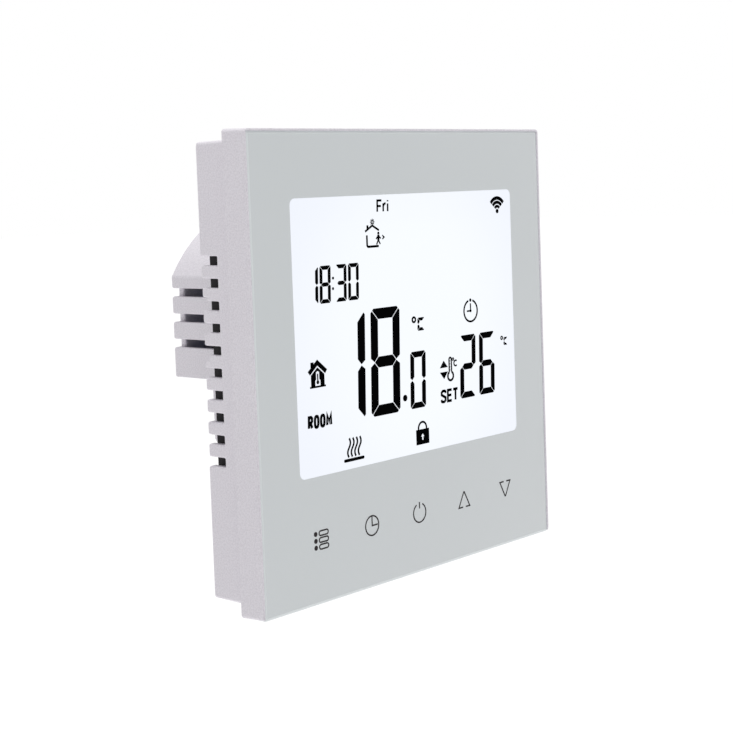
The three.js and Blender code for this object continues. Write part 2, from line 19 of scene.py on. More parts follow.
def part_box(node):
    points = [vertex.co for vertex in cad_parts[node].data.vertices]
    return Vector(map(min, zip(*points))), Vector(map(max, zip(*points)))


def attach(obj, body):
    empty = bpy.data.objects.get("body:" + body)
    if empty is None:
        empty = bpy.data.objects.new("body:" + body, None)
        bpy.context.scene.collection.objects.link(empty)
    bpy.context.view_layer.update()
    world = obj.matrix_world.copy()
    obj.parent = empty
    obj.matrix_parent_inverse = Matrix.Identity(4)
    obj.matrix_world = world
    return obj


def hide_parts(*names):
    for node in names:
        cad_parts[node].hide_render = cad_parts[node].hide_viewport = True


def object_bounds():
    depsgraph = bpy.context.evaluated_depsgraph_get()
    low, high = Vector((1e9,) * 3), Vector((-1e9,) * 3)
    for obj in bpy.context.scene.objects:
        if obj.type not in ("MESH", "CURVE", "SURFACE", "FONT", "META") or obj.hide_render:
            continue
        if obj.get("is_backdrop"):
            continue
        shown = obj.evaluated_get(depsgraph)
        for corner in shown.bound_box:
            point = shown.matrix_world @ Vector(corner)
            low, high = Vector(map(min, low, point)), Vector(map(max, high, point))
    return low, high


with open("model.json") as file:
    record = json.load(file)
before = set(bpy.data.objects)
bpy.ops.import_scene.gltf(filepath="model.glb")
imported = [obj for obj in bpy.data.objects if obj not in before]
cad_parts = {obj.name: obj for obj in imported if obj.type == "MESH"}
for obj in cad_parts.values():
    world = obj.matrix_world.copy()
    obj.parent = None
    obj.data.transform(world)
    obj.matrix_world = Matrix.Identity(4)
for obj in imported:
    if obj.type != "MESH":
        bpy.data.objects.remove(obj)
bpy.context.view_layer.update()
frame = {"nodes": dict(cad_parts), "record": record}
behaviour = frame["record"]["behaviour"]
body_of = {node: body for body, nodes in behaviour["bodies"].items() for node in nodes}

# %% [markdown]
# ## Camera
#
# The camera stands to the left of the panel, nearly level with it and about 300 mm away, with a
# long lens. Its rotation is a tripod's: pan, tilt and a small roll about its line of sight. A
# small vertical shift keeps the panel's sides nearly upright.

# %% Camera
MM = 0.001  # a millimetre in the scene's metres

camera_data = bpy.data.cameras.new("camera")
camera_data.sensor_width = 36.0
camera_data.lens = 76.38
camera_data.shift_y = -0.10
camera_data.clip_start, camera_data.clip_end = 0.01, 20.0
camera = bpy.data.objects.new("camera", camera_data)
pan = Matrix.Rotation(math.radians(-48.15), 4, "Z")
tilt = Matrix.Rotation(math.radians(90 - 3.985), 4, "X")
roll = Matrix.Rotation(math.radians(-2.054), 4, "Z")
stand = Matrix.Translation((-227.8 * MM, -206.62 * MM, 32.4 * MM))
camera.matrix_world = stand @ pan @ tilt @ roll
bpy.context.scene.collection.objects.link(camera)
bpy.context.scene.camera = camera
print("lens", camera_data.lens, "mm")

# %% [markdown]
# ## Colours and nodes
#
# Colours are written as hex values, and one function turns them into the linear values that a
# shader works with. Another adds a node, sets its properties and fills its sockets.

# %% Colour and node helpers
def linear(code):
    """'#rrggbb' to linear red, green, blue and alpha: the inverse of the sRGB curve."""
    s = np.array([int(code[i:i + 2], 16) for i in (1, 3, 5)]) / 255
    return (*np.where(s <= 0.04045, s / 12.92, ((s + 0.055) / 1.055) ** 2.4), 1.0)


def add_node(tree, kind, sockets=None, **settings):
    """Adds a shader node. sockets maps a socket's name or number to a value or to an output."""
    made = tree.nodes.new("ShaderNode" + kind)
    for key, value in settings.items():
        setattr(made, key, value)
    for key, value in (sockets or {}).items():
        if isinstance(value, bpy.types.NodeSocket):
            tree.links.new(value, made.inputs[key])
        else:
            made.inputs[key].default_value = value
    return made


def new_material(name, **sockets):
    """A material with one Principled shader. Returns it, its tree, the shader and the place."""
    material = bpy.data.materials.new(name)
    material.use_nodes = True
    tree = material.node_tree
    tree.nodes.clear()
    named = {key.replace("_", " "): value for key, value in sockets.items()}
    shader = add_node(tree, "BsdfPrincipled", named)
    add_node(tree, "OutputMaterial", {"Surface": shader.outputs["BSDF"]})
    place = add_node(tree, "TexCoord").outputs["Object"]
    return material, tree, shader, place


def feed(tree, shader, **sources):
    """Links each source to the shader's socket of that name."""
    for key, source in sources.items():
        tree.links.new(source, shader.inputs[key.replace("_", " ")])


def blend_colours(tree, amount, first, second):
    """A colour that goes from first to second as amount goes from 0 to 1."""
    mixed = add_node(tree, "Mix", {0: amount, 6: first, 7: second}, data_type="RGBA")
    return mixed.outputs[2]


def per_mm(count):
    """A texture scale that gives that many features in a millimetre of object space."""
    return count / MM


def clouded(tree, place, size_mm, detail, shade, tint):
    """Two close colours mixed in soft clouds that are size_mm wide."""
    cloud = add_node(tree, "TexNoise", {
        "Vector": place, "Scale": per_mm(1 / size_mm), "Detail": detail})
    return blend_colours(tree, cloud.outputs["Fac"], linear(shade), linear(tint))


# %% [markdown]
# ## Stage: floor, sky and lights
#
# The stage is a white tent: light comes from everywhere, most of it from above and below. The
# sky is an even soft white, one large soft lamp hangs overhead, and the floor is a pale sweep
# lit from below. The sky is pure white where the camera sees it, directly or in the glass.

# %% Stage
FLOOR_DROP = 0.16
FILL = 0.31  # the tent's strength where it only lights a surface

scene = bpy.context.scene
scene.view_settings.view_transform = "Standard"
world = bpy.data.worlds.new("white_tent")
world.use_nodes = True
scene.world = world
sky = world.node_tree
sky.nodes.clear()
ray = add_node(sky, "LightPath").outputs
seen = add_node(
    sky, "Math", {0: ray["Is Camera Ray"], 1: ray["Is Glossy Ray"]},
    operation="MAXIMUM").outputs[0]
brightness = add_node(sky, "Mix", {0: seen, 2: FILL, 3: 1.0}).outputs[0]
tent = add_node(sky, "Background", {"Color": linear("#ffffff"), "Strength": brightness})
add_node(sky, "OutputWorld", {"Surface": tent.outputs[0]})

floor_material, tree, shader, place = new_material(
    "pale_backlit_sweep", Roughness=0.9, Emission_Color=linear("#ffffff"), Emission_Strength=0.93)
fibre = add_node(tree, "TexNoise", {"Vector": place, "Scale": 60.0, "Detail": 4.0})
woven = blend_colours(tree, fibre.outputs["Fac"], linear("#5e5d5e"), linear("#646364"))
feed(tree, shader, Base_Color=woven)
floor_mesh = bpy.data.meshes.new("floor")
reach = 6.0
floor_mesh.from_pydata(
    [(-reach, -reach, 0), (reach, -reach, 0), (reach, reach, 0), (-reach, reach, 0)],
    [], [(0, 1, 2, 3)])
floor_mesh.transform(Matrix.Translation((0, 0, -FLOOR_DROP)))
floor = bpy.data.objects.new("floor", floor_mesh)
floor.data.materials.append(floor_material)
scene.collection.objects.link(floor)
floor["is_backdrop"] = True


def soft_lamp(name, place_m, aim_m, size_m, watts):
    """A square area lamp at place_m whose face looks at aim_m."""
    data = bpy.data.lights.new(name, "AREA")
    data.size, data.energy = size_m, watts
    lamp = bpy.data.objects.new(name, data)
    away = Vector(place_m) - Vector(aim_m)
    turn = away.to_track_quat("Z", "Y").to_matrix().to_4x4()
    lamp.matrix_world = Matrix.Translation(place_m) @ turn
    scene.collection.objects.link(lamp)


soft_lamp("overhead_softbox", (0.0, 0.0, 0.8), (0, 0, 0), 0.8, 6.1)
print("floor", round(FLOOR_DROP / MM), "mm below the panel's middle")

# %% [markdown]
# ## White moulded ABS
#
# The rim, the skirt and the box are injection-moulded ABS in a cool, slightly pink white. The
# mould is spark-eroded, which leaves an even, very fine grain, so highlights are soft and broken.
# The grain is drawn at 0.3 mm here, coarser than real, so that it still shows.

# %% Moulded plastics
def moulded_plastic(name, shade, tint, roughness=0.45, grain_mm=0.25, depth_mm=0.004, coat=0.0,
                    pit_shade=0.004, shine=0.5):
    """Blotches a few millimetres wide move the colour. A fine grain moves the surface and the
    gloss, and by a given amount it also paints shade into its pits and light onto its rises."""
    material, tree, shader, place = new_material(
        name, Coat_Weight=coat, IOR=1.53, Specular_IOR_Level=shine)
    grain = add_node(tree, "TexNoise", {
        "Vector": place, "Scale": per_mm(1 / grain_mm), "Detail": 2.0, "Roughness": 0.6})
    colour = clouded(tree, place, 9, 3.0, shade, tint)
    # Painted shade and light: the grain darkens the colour in its pits and lightens it on its rises.
    pit_shade_offset = add_node(tree, "MapRange", {
        "Value": grain.outputs["Fac"], "From Min": 0.35, "From Max": 0.65,
        "To Min": -pit_shade, "To Max": pit_shade})
    noise_toned = add_node(tree, "BrightContrast", {"Color": colour, "Bright": pit_shade_offset.outputs["Result"]})
    gloss = add_node(tree, "MapRange", {
        "Value": grain.outputs["Fac"], "To Min": roughness - 0.06, "To Max": roughness + 0.08})
    relief = add_node(tree, "Bump", {
        "Height": grain.outputs["Fac"], "Strength": 0.5, "Distance": depth_mm * MM})
    feed(tree, shader, Base_Color=noise_toned.outputs["Color"], Roughness=gloss.outputs["Result"],
         Normal=relief.outputs["Normal"])
    return material


# The white ABS has the strongest painted shade in its grain's pits and painted light on its rises.
white_abs = moulded_plastic(
    "moulded_white_abs", "#e3dfe6", "#e7e3ea", 0.45, 0.3, 0.012, pit_shade=0.055)
dark_abs = moulded_plastic("moulded_charcoal_abs", "#141115", "#1c181d", 0.6, shine=0.2)
green_pbt = moulded_plastic("moulded_green_terminal_plastic", "#2b6a49", "#35795a", 0.42)
black_pbt = moulded_plastic("moulded_black_connector_plastic", "#18181a", "#222225", 0.4)
blue_pbt = moulded_plastic("moulded_blue_relay_case", "#2459a0", "#2d66b0", 0.35)
brown_pbt = moulded_plastic("moulded_brown_fuse_case", "#4a2e22", "#57382a", 0.4)
yellow_epoxy = moulded_plastic("yellow_capacitor_case", "#e2b02a", "#edbd38", 0.32)
blue_epoxy = moulded_plastic("dipped_blue_epoxy", "#2a66a8", "#3675b8", 0.25, 0.8, 0.02, 0.4)
white_pc = moulded_plastic("moulded_white_lamp_holder", "#eeeeec", "#f4f4f2", 0.4)
black_epoxy = moulded_plastic("moulded_black_chip_case", "#141416", "#1e1e20", 0.5, 0.12)
ferrite = moulded_plastic("pressed_ferrite", "#2a2a2c", "#3a393a", 0.6, 0.2, 0.01)
tape = moulded_plastic("yellow_polyester_tape", "#e3c23c", "#eccd4e", 0.28, 1.2, 0.01, 0.3)
sleeve = moulded_plastic("shrunk_black_sleeve", "#1a1c20", "#24272c", 0.3, 1.0, 0.01, 0.2)
print("plastics:", sum("moulded" in m.name for m in bpy.data.materials))

# %% [markdown]
# ## Back-printed glass
#
# The panel is 2 mm float glass, screen-printed light grey on its back. What the eye sees is
# the flat grey ink under a polished sheet, with the tent mirrored faintly in it. A rough base
# under a smooth clear coat of the glass's index gives exactly that. Ink laid by a screen is a
# little uneven, so two close greys are mixed in wide soft clouds.

# %% Glass and inks
def under_glass(name, shade, tint):
    """Ink seen through polished glass: rough below, smooth coat above."""
    material, tree, shader, place = new_material(
        name, Roughness=0.55, Coat_Weight=1.0, Coat_Roughness=0.015, Coat_IOR=1.52)
    feed(tree, shader, Base_Color=clouded(tree, place, 25, 4.0, shade, tint))
    return material


def flat_ink(name, shade, tint):
    """Matt ink with no gloss of its own: its mirror image of the tent is taken out, because a
    dark mark that shone at a low angle would turn grey."""
    material, tree, shader, place = new_material(name, Roughness=0.8, Specular_IOR_Level=0.0)
    feed(tree, shader, Base_Color=clouded(tree, place, 3, 3.0, shade, tint))
    return material


grey_print = under_glass("grey_ink_behind_float_glass", "#d5dadc", "#d8dddf")
key_ink = flat_ink("charcoal_key_ink", "#393536", "#413d3e")
segment_ink = flat_ink("dark_liquid_crystal_segment", "#040405", "#09090a")
ground_edge = moulded_plastic("ground_glass_edge", "#e2e8e9", "#eaeff0", 0.35, 0.15, 0.004)

# %% [markdown]
# ## The lit display
#
# Behind the window a white light guide shines through the liquid crystal. The light is cool
# white and falls off by a few per cent towards the edges of the guide, as a smooth function of
# the distance from the window's middle.

# %% Display glow
WINDOW = {"left": -32.4, "right": 32.4, "bottom": -19.6, "top": 30.5}

display_glow, tree, shader, place = new_material(
    "backlit_liquid_crystal", Roughness=0.55, Coat_Weight=1.0, Coat_Roughness=0.015,
    Coat_IOR=1.52)
middle = add_node(tree, "Mapping", {
    "Vector": place,
    "Location": (0.0, 0.0, -(WINDOW["bottom"] + WINDOW["top"]) / 2 * MM / (32 * MM)),
    "Scale": (1 / (32 * MM), 0.0, 1 / (32 * MM))})
distance = add_node(tree, "VectorMath", {0: middle.outputs[0]}, operation="LENGTH")
fall_off = add_node(tree, "MapRange", {
    "Value": distance.outputs["Value"], "From Min": 0.5, "From Max": 1.3},
    interpolation_type="SMOOTHSTEP")
glow = blend_colours(tree, fall_off.outputs["Result"], linear("#f6faff"), linear("#eff3fc"))
shader.inputs["Base Color"].default_value = linear("#202224")
feed(tree, shader, Emission_Color=glow)
shader.inputs["Emission Strength"].default_value = 0.96
print("window", WINDOW["right"] - WINDOW["left"], "by", WINDOW["top"] - WINDOW["bottom"], "mm")

# %% [markdown]
# ## Metals
#
# Screws are bright zinc-plated steel, clamps and contact bars are stamped brass, the shield can
# and the solder are tin. The default index is kept, and a noise that is stretched along the
# rolling direction roughens each one unevenly.

# %% Metals
def rolled_metal(name, shade, tint, roughness, streak_mm=(0.2, 4.0, 0.6)):
    """Streaks, as long as streak_mm says along X, Y and Z, shift the colour and the gloss."""
    material, tree, shader, place = new_material(name, Metallic=1.0)
    stretched = add_node(tree, "Mapping", {
        "Vector": place, "Scale": tuple(per_mm(1 / length) for length in streak_mm)})
    streak = add_node(tree, "TexNoise", {
        "Vector": stretched.outputs[0], "Scale": 1.0, "Detail": 3.0})
    colour = blend_colours(tree, streak.outputs["Fac"], linear(shade), linear(tint))
    gloss = add_node(tree, "MapRange", {
        "Value": streak.outputs["Fac"], "To Min": roughness - 0.08, "To Max": roughness + 0.12})
    feed(tree, shader, Base_Color=colour, Roughness=gloss.outputs["Result"])
    return material


zinc = rolled_metal("zinc_plated_steel", "#b4b8be", "#c9ccd0", 0.3)
brass = rolled_metal("stamped_brass", "#b8923f", "#cdab5e", 0.32)
tin = rolled_metal("tinned_steel", "#bfc1c3", "#d3d4d5", 0.28, (1.5, 1.5, 0.3))
spring_wire = rolled_metal("drawn_spring_wire", "#b9babd", "#cdced0", 0.25)
aluminium = rolled_metal("bare_aluminium", "#c4c6c9", "#d6d7d9", 0.35, (0.15, 3.0, 0.15))
ferrule = rolled_metal("solder", "#bcbdbe", "#cfd0d0", 0.22, (0.8, 0.8, 0.8))

# %% [markdown]
# ## Circuit boards and rubber
#
# The boards are glass-epoxy laminate under green solder mask. Copper tracks under the mask show
# as slightly lighter lines 0.3 mm wide and 1.2 mm apart. They run in bundles: a coarse pattern
# of square-cornered cells decides for each patch whether its tracks lie across or upright. The
# contact strip between display and board is silicone with conductive stripes every 0.5 mm, and
# the light guide is acrylic with a frosted back.

# %% Laminate, rubber, acrylic
def bands(tree, vector, pitch_mm, axis="X"):
    """Soft bands of that pitch: a band texture repeats after two pi over twenty of its
    scaled length."""
    scale = math.pi / 10 * per_mm(1 / pitch_mm)
    wave = add_node(tree, "TexWave", {"Vector": vector, "Scale": scale}, bands_direction=axis)
    return wave.outputs["Fac"]


solder_mask, tree, shader, place = new_material(
    "green_solder_mask", Roughness=0.3, Coat_Weight=0.5, Coat_Roughness=0.12)
face_on = add_node(tree, "Mapping", {"Vector": place, "Rotation": (math.pi / 2, 0.0, 0.0)})
across, upright = (bands(tree, face_on.outputs[0], 1.2, axis) for axis in "YX")
patches = add_node(
    tree, "TexVoronoi", {"Vector": face_on.outputs[0], "Scale": per_mm(1 / 7)},
    voronoi_dimensions="2D", distance="CHEBYCHEV")
which = add_node(tree, "Math", {0: patches.outputs["Color"], 1: 0.5}, operation="GREATER_THAN")
bundle = add_node(tree, "Mix", {0: which.outputs[0], 2: across, 3: upright})
tracks = add_node(tree, "MapRange", {
    "Value": bundle.outputs[0], "From Min": 0.84, "From Max": 0.9})
weave = add_node(tree, "TexNoise", {"Vector": place, "Scale": per_mm(2.0), "Detail": 2.0})
mask = blend_colours(tree, tracks.outputs["Result"], linear("#174a2c"), linear("#2c6d44"))
noise_toned = blend_colours(tree, weave.outputs["Fac"], mask, linear("#1d5634"))
lift = add_node(tree, "Bump", {
    "Height": tracks.outputs["Result"], "Strength": 0.6, "Distance": 0.035 * MM})
feed(tree, shader, Base_Color=noise_toned, Normal=lift.outputs["Normal"])

striped_rubber, tree, shader, place = new_material("striped_contact_rubber", Roughness=0.7)
stripes = bands(tree, place, 0.5)
striped = blend_colours(tree, stripes, linear("#3a3136"), linear("#dba8b2"))
feed(tree, shader, Base_Color=striped)

frosted_acrylic, tree, shader, place = new_material(
    "frosted_acrylic", IOR=1.49, Subsurface_Weight=0.3, Subsurface_Scale=1.0 * MM)
frost = add_node(tree, "TexNoise", {"Vector": place, "Scale": per_mm(3.0), "Detail": 2.0})
milky = blend_colours(tree, frost.outputs["Fac"], linear("#eef3f6"), linear("#f8fbfc"))
haze = add_node(tree, "MapRange", {"Value": frost.outputs["Fac"], "To Min": 0.3, "To Max": 0.5})
feed(tree, shader, Base_Color=milky, Roughness=haze.outputs["Result"])
print(len(bpy.data.materials), "materials")

# %% [markdown]
# ## From arrays to pieces
#
# Every new shape is a grid of points worked out at once. The basic one is a loft: an outline in
# the X-Z plane is repeated at several depths, neighbouring outlines are joined by four-sided
# faces, and one flat face closes each end. A piece may be made of many such parts.

# %% Shape helpers
def rounded_outline(left, right, bottom, top, radius, steps=5):
    """A rectangle with round corners: each corner's centre plus radius times the cosine and
    sine of an angle that runs through a quarter turn."""
    quarter = np.linspace(0, np.pi / 2, steps)
    angle = np.concatenate([quarter + turn * np.pi / 2 for turn in range(4)])
    centre_x = np.repeat([right - radius, left + radius, left + radius, right - radius], steps)
    centre_z = np.repeat([top - radius, top - radius, bottom + radius, bottom + radius], steps)
    return np.stack([centre_x + radius * np.cos(angle), centre_z + radius * np.sin(angle)], 1)


def skin(rows, count):
    """The faces between neighbouring rows of points, and one face to close each end."""
    index = np.arange(rows * count).reshape(rows, count)
    here, after = index[:-1], index[1:]
    quads = np.stack([here, after, np.roll(after, -1, 1), np.roll(here, -1, 1)], -1)
    return quads.reshape(-1, 4).tolist() + [index[0].tolist(), index[-1][::-1].tolist()]


def loft(outlines, depths):
    """Outlines (M, N, 2) at M depths become M x N points and the faces between them."""
    outlines = np.asarray(outlines, float)
    rows, count, _ = outlines.shape
    points = np.empty((rows, count, 3))
    points[..., 0], points[..., 2] = outlines[..., 0], outlines[..., 1]
    points[..., 1] = np.reshape(depths, (rows, 1))
    return points.reshape(-1, 3), skin(rows, count)


def soft_box(low, high, edge=0.3, steps=3):
    """A box with rounded edges: a rounded rectangle lofted along Y, which shrinks at both
    ends as one minus the sine of an angle while its depth goes as one minus the cosine."""
    (x0, y0, z0), (x1, y1, z1) = low, high
    angle = np.linspace(0, np.pi / 2, steps)
    inset, depth = edge * (1 - np.sin(angle)), edge * (1 - np.cos(angle))
    insets = np.concatenate([inset, inset[::-1]])
    depths = np.concatenate([y0 + depth, y1 - depth[::-1]])
    rings = [rounded_outline(x0 + i, x1 - i, z0 + i, z1 - i, max(edge - i, 0.02)) for i in insets]
    return loft(rings, depths)


def turned(profile, x, z, steps=32):
    """A profile of (radius, depth) pairs turned about the line along Y through (x, z)."""
    radius, depth = np.asarray(profile, float).T
    angle = np.linspace(0, 2 * np.pi, steps, endpoint=False)
    circle = np.stack([np.cos(angle), np.sin(angle)], 1)
    return loft((x, z) + radius[:, None, None] * circle, depth)


def wire(path, radius, across, sides=10):
    """A round wire: at each point of the path a circle in the plane of two unit vectors, one
    at right angles to the path and to across, the other at right angles to both."""
    path = np.asarray(path, float)
    along = np.gradient(path, axis=0)
    along /= np.linalg.norm(along, axis=1, keepdims=True)
    first = np.cross(along, across)
    first /= np.linalg.norm(first, axis=1, keepdims=True)
    second = np.cross(along, first)
    angle = np.linspace(0, 2 * np.pi, sides, endpoint=False)[None, :, None]
    ring = np.cos(angle) * first[:, None] + np.sin(angle) * second[:, None]
    points = path[:, None] + radius * ring
    return points.reshape(-1, 3), skin(len(path), sides)


SMOOTH_BELOW = math.radians(35)


def finish_mesh(mesh):
    """Turns faces outwards and shades smooth except where two faces meet sharply."""
    shell = bmesh.new()
    shell.from_mesh(mesh)
    bmesh.ops.recalc_face_normals(shell, faces=shell.faces)
    shell.to_mesh(mesh)
    shell.free()
    mesh.shade_smooth()
    mesh.set_sharp_from_angle(angle=SMOOTH_BELOW)


def add_piece(name, parts, material, body):
    """Joins the parts, given in millimetres, into one object that rides on a body."""
    points, faces, start = [], [], 0
    for part_points, part_faces in parts:
        points.append(part_points)
        faces += [[corner + start for corner in face] for face in part_faces]
        start += len(part_points)
    mesh = bpy.data.meshes.new(name)
    mesh.from_pydata((np.concatenate(points) * MM).tolist(), [], faces)
    finish_mesh(mesh)
    mesh.materials.append(material)
    made = bpy.data.objects.new(name, mesh)
    scene.collection.objects.link(made)
    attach(made, body)
    return made


def node_box(node):
    """A CAD node's lowest and highest corners, in millimetres."""
    low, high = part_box(node)
    return np.array(low) / MM, np.array(high) / MM


print("glass from", *node_box("glass_panel"))

# %% [markdown]
# ## Moulded shells
#
# The frame's shells have the right walls, slots and posts, but knife-sharp edges. A real
# moulding has a small radius on every edge, which catches the light. So each shell is copied,
# its triangles are merged into whole faces, and the awkward faces are cut again into well shaped
# triangles. A bevel then rounds every edge that turns by more than 30 degrees. The arched faces
# turn by less, so they are only shaded smooth. A zone may have a
# radius of its own: the deep box's inner end has a larger one, and the frame's seat stays crisp
# so that the glass sits tight in it.

# %% Finished copies of CAD shells
EVERYWHERE = 1000.0
WELD = 0.06 * MM  # corners closer than this are one corner
FLAT = math.radians(0.4)  # faces that turn by less are one face
SHARP = math.radians(30)  # edges that turn by less are not rounded
WINDING = 22  # perimeter squared over area of a long or winding face
SHARE = 0.42  # how much of its surroundings a radius may take


def awkward(face):
    """True for a face with holes, whose outline has to run along a cut to each hole, and for a
    long or winding one, whose perimeter squared is more than WINDING times its area."""
    holed = any(edge.calc_face_angle(math.pi) < math.radians(1) for edge in face.edges)
    return holed or face.calc_perimeter() ** 2 > WINDING * face.calc_area()


def rounding(shell, wanted, low, high, zone_wanted):
    """Gives each edge that turns by over SHARP its radius in millimetres: the wanted one, or
    zone_wanted if its ends lie between low and high, but at most a SHARE of the shortest edge
    that it meets and of the height of the triangles on it, so that a radius never outgrows the
    wall that it rounds. Weights hold each radius as a share of the largest."""
    largest = max(wanted, zone_wanted)
    weight = shell.edges.layers.float.new("bevel_weight_edge")
    for edge in shell.edges:
        if edge.calc_face_angle(0.0) < SHARP:
            continue
        ends = np.array([vert.co for vert in edge.verts]) / MM
        inside = np.all((ends > low) & (ends < high))
        shortest = min(e.calc_length() for vert in edge.verts for e in vert.link_edges)
        lowest = min(2 * face.calc_area() / edge.calc_length() for face in edge.link_faces)
        room = SHARE * min(shortest, lowest) / MM
        edge[weight] = min(zone_wanted if inside else wanted, room) / largest
    return largest


def finished_copy(node, material, wanted, rounds=2, zone=(EVERYWHERE, EVERYWHERE),
                  zone_wanted=0.0):
    """A copy of a CAD node with rounded edges, which then stands for that node."""
    mesh = frame["nodes"][node].data.copy()
    mesh.name = node + "_shell"
    shell = bmesh.new()
    shell.from_mesh(mesh)
    bmesh.ops.remove_doubles(shell, verts=shell.verts, dist=WELD)
    bmesh.ops.dissolve_limit(shell, angle_limit=FLAT, verts=shell.verts, edges=shell.edges)
    to_cut = [face for face in shell.faces if awkward(face)]
    bmesh.ops.triangulate(shell, faces=to_cut, quad_method="BEAUTY", ngon_method="BEAUTY")
    largest = rounding(shell, wanted, *zone, zone_wanted)
    shell.to_mesh(mesh)
    shell.free()
    mesh.materials.clear()
    mesh.materials.append(material)
    mesh.shade_smooth()
    made = bpy.data.objects.new(node + "_shell", mesh)
    scene.collection.objects.link(made)
    bevel = made.modifiers.new("edge_radius", "BEVEL")
    bevel.width, bevel.segments = largest * MM, rounds
    bevel.limit_method = "WEIGHT"
    bevel.use_clamp_overlap, bevel.loop_slide = False, False
    normals = made.modifiers.new("flat_faces_stay_flat", "WEIGHTED_NORMAL")
    normals.weight = 100
    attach(made, body_of[node])
    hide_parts(node)
    return made


seat = ((-42.6, -EVERYWHERE, -EVERYWHERE), (42.6, EVERYWHERE, 42.6))
inner_end = ((-EVERYWHERE, 25.0, -EVERYWHERE), (EVERYWHERE,) * 3)
finished_copy("front_frame", white_abs, 0.28, 3, seat, 0.06)
finished_copy("rear_housing", white_abs, 0.4, 3, inner_end, 0.6)
finished_copy("wall_plate", dark_abs, 0.2)
finished_copy("terminal_block", green_pbt, 0.15)
finished_copy("lcd_holder", white_pc, 0.15)
finished_copy("front_board", solder_mask, 0.05)
finished_copy("power_board", solder_mask, 0.05)
finished_copy("pin_socket", black_pbt, 0.1)
finished_copy("pin_header", brass, 0.06)
finished_copy("buzzer", black_pbt, 0.2)
screws = [node for node in frame["nodes"] if "screw" in node]
for node in screws:
    finished_copy(node, zinc, 0.1)
clamps = [node for node in frame["nodes"] if node.startswith(("wire_clamp", "contact_bar"))]
for node in clamps:
    finished_copy(node, brass, 0.12)
print("rounded", len(screws), "screws and", len(clamps), "brass parts")

# %% [markdown]
# ## Glass panel
#
# The glass is cut square and its front edge is ground to a small chamfer. The print on the back
# stops short of it, so the bare ground glass shows as a thin lighter line round the panel. The
# frame surrounds it on three sides and is open below.

# %% Glass panel
glass_low, glass_high = node_box("glass_panel")
FACE = glass_low[1]
CHAMFER = 0.42  # how far the ground slope runs in from the edge
SLOPE = 0.1  # how deep it goes


def inset_glass(inset, radius):
    """The glass panel's outline, smaller by inset all round."""
    return rounded_outline(
        glass_low[0] + inset, glass_high[0] - inset, glass_low[2] + inset, glass_high[2] - inset,
        radius, 4)


panel = loft(
    [inset_glass(CHAMFER, 0.1), inset_glass(0.0, 0.15), inset_glass(-0.09, 0.2),
     inset_glass(-0.09, 0.2), inset_glass(0.12, 0.15)],
    [FACE, FACE + SLOPE, FACE + SLOPE + 0.1, glass_high[1] - 0.12, glass_high[1]])
glass = add_piece("glass_face", [panel], grey_print, "panel")
glass.data.materials.append(ground_edge)
middles = np.empty(len(glass.data.polygons) * 3)
glass.data.polygons.foreach_get("center", middles)
on_edge = (middles[1::3] / MM > FACE + 0.01) & (middles[1::3] / MM < glass_high[1] - 0.01)
glass.data.polygons.foreach_set("material_index", on_edge.astype(np.int32))
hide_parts("glass_panel")
print("glass", round(glass_high[1] - glass_low[1], 2), "mm thick,", on_edge.sum(), "ground faces")

# %% [markdown]
# ## Flat artwork
#
# The display's segments and pictures and the marks of the touch keys are flat shapes a few
# hundredths of a millimetre thick: filled outlines, and strokes, which are lines of given width
# along a path. At a corner the stroke's side is moved out by half the width over the cosine of
# half the turn, so that its width stays the same.

# %% Flat shapes
SCREEN_TOP = FACE - 0.03  # the lit sheet stands this little in front of the glass face
INK_TOP = FACE - 0.06
BURIED = FACE + 0.02  # where flat shapes end, just inside the glass


def flat(outline, front=INK_TOP):
    """A filled outline as a thin closed plate that ends just inside the glass."""
    return loft([outline, outline], [front, BURIED])


def disc(x, z, radius, front=INK_TOP):
    """A filled circle."""
    return turned([(radius, front), (radius, BURIED)], x, z, 24)


def stroke(path, width, front=INK_TOP, closed=False):
    """A line of constant width: a flat rectangle carried along the path."""
    path = np.asarray(path, float)
    if closed:
        ahead, behind = np.roll(path, -1, 0) - path, path - np.roll(path, 1, 0)
    else:
        step = np.diff(path, axis=0)
        ahead, behind = np.vstack([step, step[-1:]]), np.vstack([step[:1], step])
    ahead /= np.linalg.norm(ahead, axis=1, keepdims=True)
    behind /= np.linalg.norm(behind, axis=1, keepdims=True)
    middle = ahead + behind
    middle /= np.linalg.norm(middle, axis=1, keepdims=True)
    half = width / 2 / np.maximum((middle * ahead).sum(1, keepdims=True), 0.5)
    side = half * np.stack([-middle[:, 1], middle[:, 0]], 1)
    corners = np.stack([path + side, path - side, path - side, path + side], 1)
    depth = np.broadcast_to([front, front, BURIED, BURIED], corners.shape[:2])
    points = np.stack([corners[..., 0], depth, corners[..., 1]], -1)
    index = np.arange(len(path) * 4).reshape(-1, 4)
    here, after = (index, np.roll(index, -1, 0)) if closed else (index[:-1], index[1:])
    quads = np.stack([here, np.roll(here, -1, 1), np.roll(after, -1, 1), after], -1)
    faces = quads.reshape(-1, 4).tolist()
    if not closed:
        faces += [index[0].tolist(), index[-1][::-1].tolist()]
    return points.reshape(-1, 3), faces


def arc_points(x, z, radius, start, stop, steps=24):
    """Points on a circle from start to stop, in degrees anticlockwise from the right."""
    angle = np.radians(np.linspace(start, stop, steps))
    return np.stack([x + radius * np.cos(angle), z + radius * np.sin(angle)], 1)


def ring(x, z, radius, width, front=INK_TOP):
    """A full circle drawn as a stroke."""
    return stroke(arc_points(x, z, radius, 0, 360, 33)[:-1], width, front, closed=True)


screen = loft(
    [rounded_outline(WINDOW["left"], WINDOW["right"], WINDOW["bottom"], WINDOW["top"], 1.2, 8)] * 2,
    [SCREEN_TOP, BURIED])
add_piece("display_window", [screen], display_glow, "panel")
print("screen stands", round((FACE - SCREEN_TOP) * 1000), "micrometres proud")

